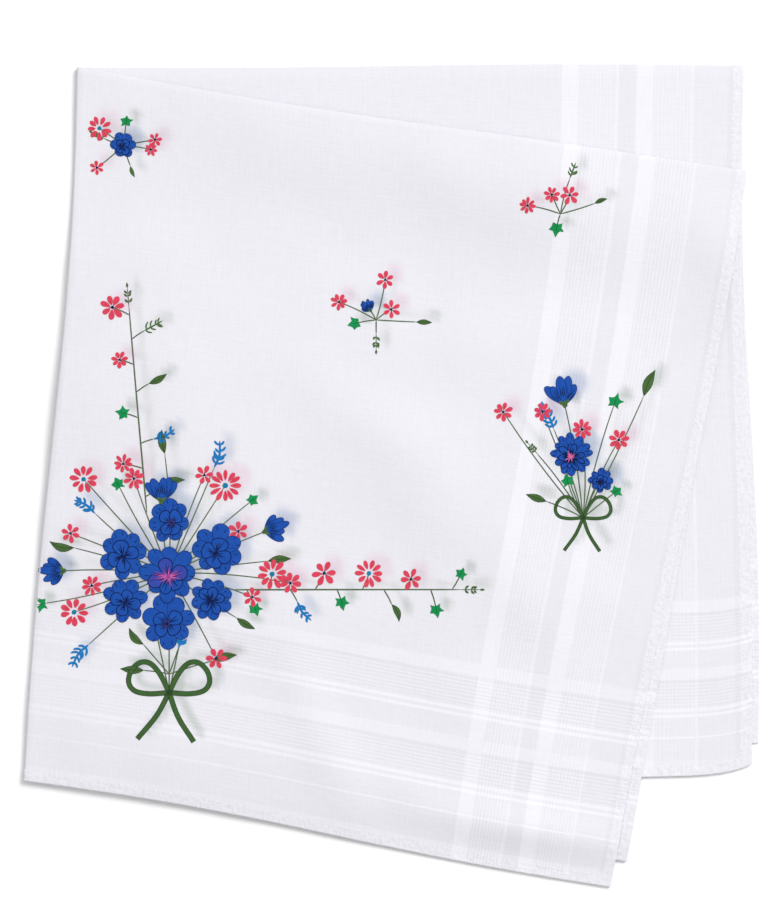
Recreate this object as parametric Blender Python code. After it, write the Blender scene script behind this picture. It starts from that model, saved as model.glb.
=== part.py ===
"""A white lawn handkerchief, folded in half, then in half again, and laid flat: one sheet, four plies.

Metres, +Z up. Sizes below are in millimetres, and the model is made at MM metres each.
The first fold turns the far half of the cloth under the near half, along the crease at the top.
The second fold turns the left half of that strip under the right half, along the fold at the left.
Neither fold is quite square to the weave, so the four plies fan out to the right and at the foot.

A place on the flat cloth is (across, down), in millimetres from the cloth's centre:
  across > 0 is the half that ends on top, across < 0 the half that ends underneath;
  down > 0 is the half that stays outside at the crease, down < 0 the half turned inside.
From the top of the pile the plies are then show, lining, backing and base.
"""

import math

import bmesh
import bpy
import numpy as np

MM = 0.001

# The cloth
HALF_ACROSS = 146.0  # half the cloth's side across, from the centre to the hem's edge
HALF_DOWN = 156.0  # half the cloth's side down
SHEET = 1.0  # thickness away from the hem
HEM_WIDTH = 3.0
HEM_THICKNESS = 1.15
PLY_PITCH = 1.45  # middle of one ply to middle of the next

# The grid that the sheet is made of
FLAT_CELLS = 15  # cells between a fold and a hem
TURN_CELLS = 6  # cells round a fold

# Each fold's radius at the middle of what it folds: one ply at the crease, two at the left fold
CREASE_RADIUS = PLY_PITCH / 2
FOLD_RADIUS = PLY_PITCH
OUTER_RADIUS = FOLD_RADIUS + CREASE_RADIUS

# Corners of the plies, seen from above: (x, y) from the cloth's centre, +Y towards the crease
CORNERS = {
    "centre": (0.0, 0.0),
    "outer_foot": (-11.6, -155.2),
    "inner_foot": (-11.3, -153.6),
    "front_crease_end": (145.6, -22.7),
    "back_crease_end": (145.1, 0.4),
    "show_corner": (116.0, -178.5),
    "lining_corner": (119.5, -172.9),
    "backing_corner": (146.8, -151.7),
    "base_corner": (148.3, -147.2),
}

# Edges seen from above. Each leaves its straight line to the left of its run by
# bow at its middle, and by sway one way at its first quarter and the other way at its third.
EDGES = {
    # name: (start, end, bow, sway)
    "outer_fold": ("centre", "outer_foot", 0.4, 0.65),
    "inner_fold": ("centre", "inner_foot", 0.4, 0.65),
    "front_crease": ("centre", "front_crease_end", -0.8, -0.4),
    "back_crease": ("centre", "back_crease_end", 0.2, -0.3),
    "show_side": ("front_crease_end", "show_corner", 0.7, 0.7),
    "lining_side": ("front_crease_end", "lining_corner", 0.3, -0.3),
    "backing_side": ("back_crease_end", "backing_corner", -0.5, -0.6),
    "base_side": ("back_crease_end", "base_corner", -0.2, -0.9),
    "show_foot": ("outer_foot", "show_corner", 0.1, 0.4),
    "lining_foot": ("inner_foot", "lining_corner", 0.3, 0.0),
    "backing_foot": ("inner_foot", "backing_corner", -2.2, 1.5),
    "base_foot": ("outer_foot", "base_corner", -1.0, 0.0),
}

# The four edges round each ply
PLIES = {
    # name: (crease, left fold, side hem, foot hem)
    "show": ("front_crease", "outer_fold", "show_side", "show_foot"),
    "lining": ("front_crease", "inner_fold", "lining_side", "lining_foot"),
    "backing": ("back_crease", "inner_fold", "backing_side", "backing_foot"),
    "base": ("back_crease", "outer_fold", "base_side", "base_foot"),
}

# Soft ridges that run through all the plies above the base. Lift is a share of the height there.
RIDGES = {
    # name: (x, y, length, width, turn in degrees, lift)
    "below_the_crease": (72.0, -24.0, 96.0, 20.0, -15.0, 0.26),
    "middle_slant": (72.0, -82.0, 46.0, 15.0, -31.0, 0.22),
    "near_the_side": (128.0, -52.0, 34.0, 16.0, -62.0, 0.16),
    "above_the_foot": (56.0, -140.0, 30.0, 15.0, -72.0, 0.14),
}

# Below the backing's foot hem the two upper plies sink to the surface
SINK_START = -156.5
SINK_RUN = 12.0
SINK_DEPTH = 2 * PLY_PITCH

CLOTH_COLOUR = (0.86, 0.86, 0.88, 1.0)
CLOTH_ROUGHNESS = 0.85


def clear_scene():
    for old in list(bpy.data.objects):
        bpy.data.objects.remove(old, do_unlink=True)


def edge_point(name, share):
    """The place (x, y) at this share of the way along an edge."""
    start, end, bow, sway = EDGES[name]
    start = np.array(CORNERS[start])
    run = np.array(CORNERS[end]) - start
    left = np.array((-run[1], run[0])) / np.hypot(*run)
    off = bow * math.sin(math.pi * share) + sway * math.sin(2 * math.pi * share)
    return start + share * run + off * left


def ply_point(ply, over, along):
    """The place (x, y) in a ply, at a share over from the left fold and a share along from the crease."""
    crease, fold, side, foot = PLIES[ply]
    between_rows = (1 - along) * edge_point(crease, over) + along * edge_point(foot, over)
    between_columns = (1 - over) * edge_point(fold, along) + over * edge_point(side, along)
    corners = (
        (1 - over) * (1 - along) * edge_point(crease, 0)
        + over * (1 - along) * edge_point(crease, 1)
        + (1 - over) * along * edge_point(foot, 0)
        + over * along * edge_point(foot, 1)
    )
    return between_rows + between_columns - corners


def past_crease(down):
    """How far a place lies from the crease's outer edge, and how far above the strip's middle."""
    turn = down / CREASE_RADIUS
    if abs(turn) < math.pi / 2:
        return CREASE_RADIUS * (1 - math.cos(turn)), CREASE_RADIUS * math.sin(turn)
    flat = abs(down) - CREASE_RADIUS * math.pi / 2
    return CREASE_RADIUS + flat, math.copysign(CREASE_RADIUS, down)


def past_fold(across, lift):
    """How far a place lies from the left fold's outer edge, and how far above the pile's middle."""
    turn = across / FOLD_RADIUS
    radius = FOLD_RADIUS + lift
    if abs(turn) < math.pi / 2:
        return OUTER_RADIUS - radius * math.cos(turn), radius * math.sin(turn)
    flat = abs(across) - FOLD_RADIUS * math.pi / 2
    return OUTER_RADIUS + flat, math.copysign(radius, across)


def smooth_step(share):
    share = min(max(share, 0.0), 1.0)
    return share * share * (3 - 2 * share)


def ridge_lift(x, y):
    """The share by which the ridges raise the pile here."""
    total = 0.0
    for centre_x, centre_y, length, width, degrees, lift in RIDGES.values():
        turn = math.radians(degrees)
        along = (x - centre_x) * math.cos(turn) + (y - centre_y) * math.sin(turn)
        aside = (y - centre_y) * math.cos(turn) - (x - centre_x) * math.sin(turn)
        total += lift * math.exp(-((2 * along / length) ** 2) - (2 * aside / width) ** 2)
    return total


def hem_share(across, down):
    """1 at the hem's edge, and 0 from the hem's inner edge inwards."""
    from_edge = min(HALF_ACROSS - abs(across), HALF_DOWN - abs(down))
    return max(0.0, 1 - from_edge / HEM_WIDTH)


def folded(across, down):
    """Where a place on the flat cloth lies in the folded one: the middle of the sheet, in millimetres."""
    from_crease, lift = past_crease(down)
    from_fold, height = past_fold(across, lift)
    widest = past_fold(HALF_ACROSS, 0)[0]
    longest = past_crease(HALF_DOWN)[0]
    if across > 0:
        ply = "show" if down > 0 else "lining"
    else:
        ply = "base" if down > 0 else "backing"
    x, y = ply_point(ply, from_fold / widest, from_crease / longest)
    above_base = height + OUTER_RADIUS
    if across > 0:
        above_base -= SINK_DEPTH * smooth_step((SINK_START - y) / SINK_RUN)
    above_base *= 1 + ridge_lift(x, y)
    base = (SHEET + (HEM_THICKNESS - SHEET) * hem_share(across, down)) / 2
    return x, y, base + above_base


def grid_lines(half, radius):
    """Lines across the cloth: fine round the fold, even between, and one at the hem's inner edge."""
    quarter = radius * math.pi / 2
    turn = [quarter * 2 * i / TURN_CELLS for i in range(TURN_CELLS // 2 + 1)]
    flat = np.linspace(quarter, half - HEM_WIDTH, FLAT_CELLS + 1)[1:]
    positive = turn + list(flat) + [half]
    return [-value for value in reversed(positive[1:])] + positive


def cloth_material():
    """White cotton lawn: a matt, slightly cool white."""
    material = bpy.data.materials.new("white_lawn")
    material.use_nodes = True
    shader = material.node_tree.nodes["Principled BSDF"]
    shader.inputs["Base Color"].default_value = CLOTH_COLOUR
    shader.inputs["Roughness"].default_value = CLOTH_ROUGHNESS
    shader.inputs["Metallic"].default_value = 0.0
    return material


def middle_of_box(rows):
    """The middle of the box round the cloth, whose folds stand half a thickness past its middle surface."""
    xs = [place[0] for row in rows for place in row]
    ys = [place[1] for row in rows for place in row]
    left, right = min(xs) - HEM_THICKNESS / 2, max(xs)
    low, high = min(ys), max(ys) + SHEET / 2
    return (left + right) / 2, (low + high) / 2


def make_cloth():
    """The folded sheet: a grid on its middle surface, thickened both ways and more at the hem."""
    columns = grid_lines(HALF_ACROSS, FOLD_RADIUS)
    lines = grid_lines(HALF_DOWN, CREASE_RADIUS)
    rows = [[folded(across, down) for across in columns] for down in lines]
    middle_x, middle_y = middle_of_box(rows)

    sheet = bmesh.new()
    thickness = sheet.verts.layers.deform.verify()
    grid = []
    for down, row in zip(lines, rows):
        grid.append([])
        for across, (x, y, z) in zip(columns, row):
            vertex = sheet.verts.new(((x - middle_x) * MM, (y - middle_y) * MM, z * MM))
            vertex[thickness][0] = 1.0 if hem_share(across, down) > 0 else 0.0
            grid[-1].append(vertex)
    for row, next_row in zip(grid, grid[1:]):
        for i in range(len(row) - 1):
            sheet.faces.new((row[i], next_row[i], next_row[i + 1], row[i + 1]))
    mesh = bpy.data.meshes.new("handkerchief_cloth")
    sheet.to_mesh(mesh)
    sheet.free()
    mesh.materials.append(cloth_material())

    cloth = bpy.data.objects.new("handkerchief_cloth", mesh)
    bpy.context.scene.collection.objects.link(cloth)
    cloth.vertex_groups.new(name="hem")
    thicken = cloth.modifiers.new("thickness", "SOLIDIFY")
    thicken.thickness = HEM_THICKNESS * MM
    thicken.offset = 0.0
    thicken.use_even_offset = True
    thicken.vertex_group = "hem"
    thicken.thickness_vertex_group = SHEET / HEM_THICKNESS
    mesh.shade_smooth()
    return cloth


clear_scene()
make_cloth()
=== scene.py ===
"""A sheer white lawn handkerchief with a printed posy in its corner, folded in four and laid flat.

Places on the folded cloth are plan millimetres (x, y) from the corner where both folds meet,
+X along the crease to the right and +Y away from the foot hem.
Places on the flat cloth are (across, down), in millimetres from its centre:
across > 0 and down > 0 is the quarter that ends on top, with the print.
From the top of the pile the plies are show, lining, backing and base.
"""

import math
import random

import bmesh
import bpy
import numpy as np
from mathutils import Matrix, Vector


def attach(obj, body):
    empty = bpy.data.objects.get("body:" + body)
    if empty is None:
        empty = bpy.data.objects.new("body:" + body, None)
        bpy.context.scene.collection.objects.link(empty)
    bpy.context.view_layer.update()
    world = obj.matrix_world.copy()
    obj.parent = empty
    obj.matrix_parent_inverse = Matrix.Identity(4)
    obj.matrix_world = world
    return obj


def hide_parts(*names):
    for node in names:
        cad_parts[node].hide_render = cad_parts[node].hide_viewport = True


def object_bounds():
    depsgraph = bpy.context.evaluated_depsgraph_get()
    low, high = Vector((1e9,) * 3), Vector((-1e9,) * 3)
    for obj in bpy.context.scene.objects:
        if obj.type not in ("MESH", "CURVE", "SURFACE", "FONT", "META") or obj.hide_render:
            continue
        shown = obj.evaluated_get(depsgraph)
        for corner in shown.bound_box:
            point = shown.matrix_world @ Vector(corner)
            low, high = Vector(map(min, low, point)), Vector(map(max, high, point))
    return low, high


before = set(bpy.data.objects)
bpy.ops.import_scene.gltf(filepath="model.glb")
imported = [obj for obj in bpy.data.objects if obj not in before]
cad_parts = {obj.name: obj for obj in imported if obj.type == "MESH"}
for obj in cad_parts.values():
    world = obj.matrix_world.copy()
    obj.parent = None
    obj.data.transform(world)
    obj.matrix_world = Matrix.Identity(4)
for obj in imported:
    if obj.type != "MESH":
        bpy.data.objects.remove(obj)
cad_low, cad_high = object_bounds()

MM = 0.001
WEAVE_TURN = 5.0  # degrees from the frame's axes to the show ply's threads

# ---------------------------------------------------------------- the folded cloth

HALF_ACROSS = 146.0  # from the cloth's centre to its side hem
HALF_DOWN = 156.0  # from the cloth's centre to its foot hem
SHEET = 0.22  # thickness of the sheet that stands for lawn, away from the hem
HEM_WIDTH = 2.4
HEM_STEP = 0.8  # the hem's thickness falls to the sheet's over this width
HEM_THICKNESS = 0.42
HEM_ROUNDING = 0.3  # its edges look rounded over this width
PLY_PITCH = 0.54  # middle of one ply to middle of the next
SHOW_CELLS = 122  # cells between a fold and a hem, on the half that ends on top
UNDER_CELLS = 52  # and on the other half
TURN_CELLS = 10  # cells round a fold
PRESSED = 0.45  # how deep the folds' turns are, as a share of a round turn's depth

CREASE_RADIUS = PLY_PITCH / 2
FOLD_RADIUS = PLY_PITCH
OUTER_RADIUS = FOLD_RADIUS + CREASE_RADIUS

# Corners of the plies from above, (x, y)
CORNERS = {
    "centre": (0.0, 0.0),
    "outer_foot": (-11.6, -155.2),
    "inner_foot": (-11.3, -153.6),
    "front_crease_end": (145.6, -22.7),
    "back_crease_end": (145.1, 0.4),
    "show_corner": (116.0, -178.5),
    "lining_corner": (119.5, -172.9),
    "backing_corner": (146.8, -151.7),
    "base_corner": (148.3, -147.2),
}

# Edges from above. Each leaves its straight line to the left of its run by bow at
# its middle, and by sway one way at its first quarter and the other way at its third.
EDGES = {
    # name: (start, end, bow, sway)
    "outer_fold": ("centre", "outer_foot", 0.85, 0.8),
    "inner_fold": ("centre", "inner_foot", 0.85, 0.8),
    "front_crease": ("centre", "front_crease_end", -0.8, -0.4),
    "back_crease": ("centre", "back_crease_end", 0.2, -0.3),
    "show_side": ("front_crease_end", "show_corner", 0.7, 0.7),
    "lining_side": ("front_crease_end", "lining_corner", 0.2, 0.0),
    "backing_side": ("back_crease_end", "backing_corner", -0.5, -0.6),
    "base_side": ("back_crease_end", "base_corner", -0.2, -0.9),
    "show_foot": ("outer_foot", "show_corner", 0.5, 0.65),
    "lining_foot": ("inner_foot", "lining_corner", 0.3, 0.0),
    "backing_foot": ("inner_foot", "backing_corner", -1.4, 1.5),
    "base_foot": ("outer_foot", "base_corner", -1.0, 0.0),
}

# The backing's foot hangs lower just before its corner
BELLY_DEPTH = 1.4
BELLY_POWER = 16  # the higher, the nearer the corner
BELLY_SCALE = 44  # brings share**16 * (1 - share) to about 1 at its peak

PLIES = {
    # name: (crease, left fold, side hem, foot hem)
    "show": ("front_crease", "outer_fold", "show_side", "show_foot"),
    "lining": ("front_crease", "inner_fold", "lining_side", "lining_foot"),
    "backing": ("back_crease", "inner_fold", "backing_side", "backing_foot"),
    "base": ("back_crease", "outer_fold", "base_side", "base_foot"),
}

# Soft ridges, and troughs where the lift is negative. Lift is in millimetres at the top ply.
RIDGES = {
    # name: (x, y, length, width, turn in degrees, lift)
    "beneath_the_crease": (80.0, -22.0, 116.0, 24.0, -13.0, 1.6),
    "trough_below_it": (84.0, -44.0, 110.0, 28.0, -15.0, -0.9),
    "swell_beside_the_fold": (6.0, -76.0, 104.0, 58.0, -36.0, 1.9),
    "middle_slant": (67.0, -79.5, 46.0, 15.0, -33.0, 1.2),
    "left_of_the_stripes": (99.5, -119.0, 20.0, 12.0, -45.0, 0.6),
    "above_the_stripes": (90.0, -104.0, 50.0, 18.0, -28.0, 1.05),
    "across_the_foot_stripes": (54.0, -147.0, 36.0, 12.0, -66.0, 0.95),
    "by_the_foot_hem": (72.0, -158.0, 22.0, 11.0, -22.0, 0.6),
    "before_the_left_foot": (22.0, -147.0, 90.0, 20.0, -11.0, 1.05),
    "before_the_corner": (101.0, -167.3, 44.0, 9.5, -12.0, 1.7),
    "near_the_side": (141.0, -44.0, 38.0, 15.0, -74.0, 0.95),
}

# Below the backing's foot hem the two upper plies sink to the surface, later on the right
SINK_START = -154.5
SINK_DELAY = 0.09  # for each millimetre to the right
SINK_RUN = 12.0
SINK_DEPTH = 2 * PLY_PITCH

# Fine unevenness of soft cloth: crossed waves, with their phases drawn from this seed
WAVE_SEED = 11
WAVE_COUNT = 26
WAVE_SHORTEST = 14.0
WAVE_LONGEST = 60.0
WAVE_HEIGHT = 0.012  # of a wave, as a share of its length in centimetres
INNER_WAVES = 0.25  # how strong the plies' own waves are between the pile's top and bottom


def edge_point(name, share):
    """Places (x, y) at these shares of the way along an edge."""
    start, end, bow, sway = EDGES[name]
    start = np.array(CORNERS[start])
    run = np.array(CORNERS[end]) - start
    left = np.array((-run[1], run[0])) / np.hypot(*run)
    off = bow * np.sin(np.pi * share) + sway * np.sin(2 * np.pi * share)
    if name == "backing_foot":
        off = off - BELLY_SCALE * BELLY_DEPTH * share**BELLY_POWER * (1 - share)
    return start + share[..., None] * run + off[..., None] * left


def ply_point(ply, over, along):
    """Places (x, y) in a ply, at shares over from the left fold and along from the crease."""
    crease, fold, side, foot = PLIES[ply]
    near, far = np.zeros_like(over), np.ones_like(over)
    over_2, along_2 = over[..., None], along[..., None]
    between_rows = (1 - along_2) * edge_point(crease, over) + along_2 * edge_point(foot, over)
    between_columns = (1 - over_2) * edge_point(fold, along) + over_2 * edge_point(side, along)
    corners = (
        (1 - over_2) * (1 - along_2) * edge_point(crease, near)
        + over_2 * (1 - along_2) * edge_point(crease, far)
        + (1 - over_2) * along_2 * edge_point(foot, near)
        + over_2 * along_2 * edge_point(foot, far)
    )
    return between_rows + between_columns - corners


def past_crease(down):
    """How far places lie from the crease's outer edge, and how far above the strip's middle."""
    turn = np.clip(down / CREASE_RADIUS, -math.pi / 2, math.pi / 2)
    flat = np.maximum(np.abs(down) - CREASE_RADIUS * math.pi / 2, 0)
    return PRESSED * CREASE_RADIUS * (1 - np.cos(turn)) + flat, CREASE_RADIUS * np.sin(turn)


def past_fold(across, lift):
    """How far places lie from the left fold's outer edge, and how far above the pile's middle."""
    turn = np.clip(across / FOLD_RADIUS, -math.pi / 2, math.pi / 2)
    radius = FOLD_RADIUS + lift
    flat = np.maximum(np.abs(across) - FOLD_RADIUS * math.pi / 2, 0)
    return PRESSED * (OUTER_RADIUS - radius * np.cos(turn)) + flat, radius * np.sin(turn)


WIDEST = past_fold(np.array(HALF_ACROSS), 0)[0]
LONGEST = past_crease(np.array(HALF_DOWN))[0]


def smooth_step(share):
    share = np.clip(share, 0.0, 1.0)
    return share * share * (3 - 2 * share)


def ridge_lift(x, y):
    """How far the ridges raise the top ply, in millimetres."""
    total = np.zeros_like(x)
    for centre_x, centre_y, length, width, degrees, lift in RIDGES.values():
        turn = math.radians(degrees)
        along = (x - centre_x) * math.cos(turn) + (y - centre_y) * math.sin(turn)
        aside = (y - centre_y) * math.cos(turn) - (x - centre_x) * math.sin(turn)
        total += lift * np.exp(-((2 * along / length) ** 2) - (2 * aside / width) ** 2)
    return total


def soft_waves(x, y, seed):
    """Crossed waves of many lengths and ways, in millimetres, for the fine unevenness of soft cloth."""
    draw = random.Random(seed)
    total = np.zeros_like(x)
    for _ in range(WAVE_COUNT):
        length = math.exp(draw.uniform(math.log(WAVE_SHORTEST), math.log(WAVE_LONGEST)))
        way = draw.uniform(0, math.pi)
        phase = draw.uniform(0, 2 * math.pi)
        run = x * math.cos(way) + y * math.sin(way)
        total += WAVE_HEIGHT * length / 10 * np.sin(2 * math.pi * run / length + phase)
    return total


def hem_share(across, down):
    """1 on the hem, and 0 past the step at its inner edge."""
    from_edge = np.minimum(HALF_ACROSS - np.abs(across), HALF_DOWN - np.abs(down))
    return np.clip((HEM_WIDTH + HEM_STEP - from_edge) / HEM_STEP, 0, 1)


def folded(across, down):
    """Where places on the flat cloth lie in the folded one: the middle of the sheet, plan millimetres."""
    from_crease, lift = past_crease(down)
    from_fold, height = past_fold(across, lift)
    over, along = from_fold / WIDEST, from_crease / LONGEST
    right, outside = across > 0, down > 0
    chosen = {
        "show": right & outside,
        "lining": right & ~outside,
        "backing": ~right & ~outside,
        "base": ~right & outside,
    }
    plan = np.zeros(across.shape + (2,))
    for ply, here in chosen.items():
        plan[here] = ply_point(ply, over[here], along[here])
    x, y = plan[..., 0], plan[..., 1]
    above_base = height + OUTER_RADIUS
    sink = smooth_step((SINK_START - SINK_DELAY * np.maximum(x, 0) - y) / SINK_RUN)
    above_base -= np.where(right, SINK_DEPTH * sink, 0)
    top = 2 * OUTER_RADIUS
    share = above_base / top
    raised = ridge_lift(x, y) + soft_waves(x, y, WAVE_SEED)
    raised += INNER_WAVES * soft_waves(x, y, WAVE_SEED + 1) * np.sin(np.pi * share)
    base = (SHEET + (HEM_THICKNESS - SHEET) * hem_share(across, down)) / 2
    return np.stack((x, y, base + above_base + share * raised), axis=-1)


def grid_lines(half, radius):
    """Lines across the cloth: fine round the fold, even between, and close together at the hem."""
    quarter = radius * math.pi / 2
    turn = [quarter * 2 * i / TURN_CELLS for i in range(TURN_CELLS // 2 + 1)]
    step = half - HEM_WIDTH - HEM_STEP
    inner = half - HEM_WIDTH
    hem = [step, inner, inner + HEM_ROUNDING, half - HEM_WIDTH / 2, half - HEM_ROUNDING, half]
    show, under = (
        turn + list(np.linspace(quarter, step - HEM_ROUNDING, cells + 1)[1:]) + hem
        for cells in (SHOW_CELLS, UNDER_CELLS)
    )
    return np.array([-value for value in reversed(under[1:])] + show)


COLUMNS = grid_lines(HALF_ACROSS, FOLD_RADIUS)
ROWS = grid_lines(HALF_DOWN, CREASE_RADIUS)
GRID = folded(*np.meshgrid(COLUMNS, ROWS))

# The plan's origin in the frame: the outline's middle is the CAD box's middle
PLAN_MIDDLE = (GRID.min(axis=(0, 1)) + GRID.max(axis=(0, 1)))[:2] / 2
FRAME_MIDDLE = np.array((cad_low + cad_high)[:2]) / 2


def in_frame(places):
    """Plan millimetres to metres in the frame."""
    moved = np.array(places, float)
    moved[..., :2] -= PLAN_MIDDLE
    moved *= MM
    moved[..., :2] += FRAME_MIDDLE
    return moved


def grid_normals():
    """The way out of the cloth's right side at each point of the grid."""
    along_row = np.gradient(GRID, axis=1)
    along_column = np.gradient(GRID, axis=0)
    out = np.cross(along_column, along_row)
    return out / np.linalg.norm(out, axis=-1, keepdims=True)


NORMALS = grid_normals()

# ---------------------------------------------------------------- materials


def srgb(code):
    """A linear colour from a six-digit sRGB code."""
    parts = [int(code[i : i + 2], 16) / 255 for i in (1, 3, 5)]
    linear = [p / 12.92 if p <= 0.04045 else ((p + 0.055) / 1.055) ** 2.4 for p in parts]
    return (*linear, 1.0)


def add_node(tree, kind, settings=(), links=()):
    """Adds a node. Settings are {property or input: value}, links are {input: output socket}."""
    node = tree.nodes.new(kind)
    for name, value in dict(settings).items():
        if isinstance(name, str) and hasattr(node, name):
            setattr(node, name, value)
        else:
            node.inputs[name].default_value = value
    for name, source in dict(links).items():
        tree.links.new(source, node.inputs[name])
    return node


def math_node(tree, operation, *terms):
    """A maths node's result. Terms are numbers or output sockets."""
    numbers = {i: term for i, term in enumerate(terms) if isinstance(term, (int, float))}
    sockets = {i: term for i, term in enumerate(terms) if i not in numbers}
    return add_node(tree, "ShaderNodeMath", {"operation": operation, **numbers}, sockets).outputs[0]


def new_material(name, values):
    """A material whose Principled shader has these values, its node tree, and that shader's inputs."""
    material = bpy.data.materials.new(name)
    material.use_nodes = True
    inputs = material.node_tree.nodes["Principled BSDF"].inputs
    for key, value in values.items():
        inputs[key].default_value = value
    return material, material.node_tree, inputs


def two_tones(tree, share, places, colours):
    """A colour that runs from one tone to another as the share runs between two places."""
    ramp = add_node(tree, "ShaderNodeValToRGB", {}, {"Fac": share})
    for stop, place, colour in zip(ramp.color_ramp.elements, places, colours):
        stop.position, stop.color = place, srgb(colour)
    return ramp.outputs["Color"]


def add_object(name, data):
    """A new object in the scene."""
    made = bpy.data.objects.new(name, data)
    bpy.context.scene.collection.objects.link(made)
    return made


# Bands woven along each hem, in millimetres in from the hem's outer edge
SIDE_BANDS = {
    # name: (from, to)
    "lines": [(10.9, 11.6), (27.3, 28.0)],
    "ribs": [(11.7, 19.5), (28.1, 35.8)],
    "satin": [(19.7, 23.4), (36.0, 39.7)],
    "gaps": [(23.6, 27.1)],
}
FOOT_BANDS = {
    "lines": [(9.8, 10.2), (14.8, 15.5), (16.1, 16.9), (30.7, 31.4), (32.0, 32.8)],
    "ribs": [(17.1, 23.0), (33.1, 39.0)],
    "satin": [(23.8, 26.4), (39.8, 42.5)],
    "gaps": [(23.1, 23.6), (39.1, 39.6)],
}
BAND_REACH = 45.0  # the ramps run from the hem's edge to here
BAND_SOFTNESS = 0.25  # each band's edge fades over this width
# The far half's foot bands lie closer to its hem: by this much, and more for each millimetre in
FAR_SHIFT, FAR_STRETCH = 0.87, 0.087
FAR_RIB_LOSS = 0.6  # the share of the side ribs' strength that the far half lacks
RIB_PITCH = 0.8
GROUND_WHITE = 0.4  # where the plain ground lies between the darker tone and the paler
INK_THREAD_PITCH = 0.55


def band_ramp(tree, distance, bands):
    """A mask that is 1 on the bands, read along the distance from the hem's edge in millimetres."""
    share = math_node(tree, "DIVIDE", distance, BAND_REACH)
    ramp = add_node(tree, "ShaderNodeValToRGB", {}, {"Fac": share})
    stops = ramp.color_ramp.elements
    stops[0].position, stops[0].color = 0.0, (0, 0, 0, 1)
    stops[1].position, stops[1].color = 1.0, (0, 0, 0, 1)
    half = BAND_SOFTNESS / 2
    for start, end in bands:
        for place, level in ((start - half, 0), (start + half, 1), (end - half, 1), (end + half, 0)):
            stop = stops.new(place / BAND_REACH)
            stop.color = (level, level, level, 1)
    return ramp.outputs["Color"]


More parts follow.
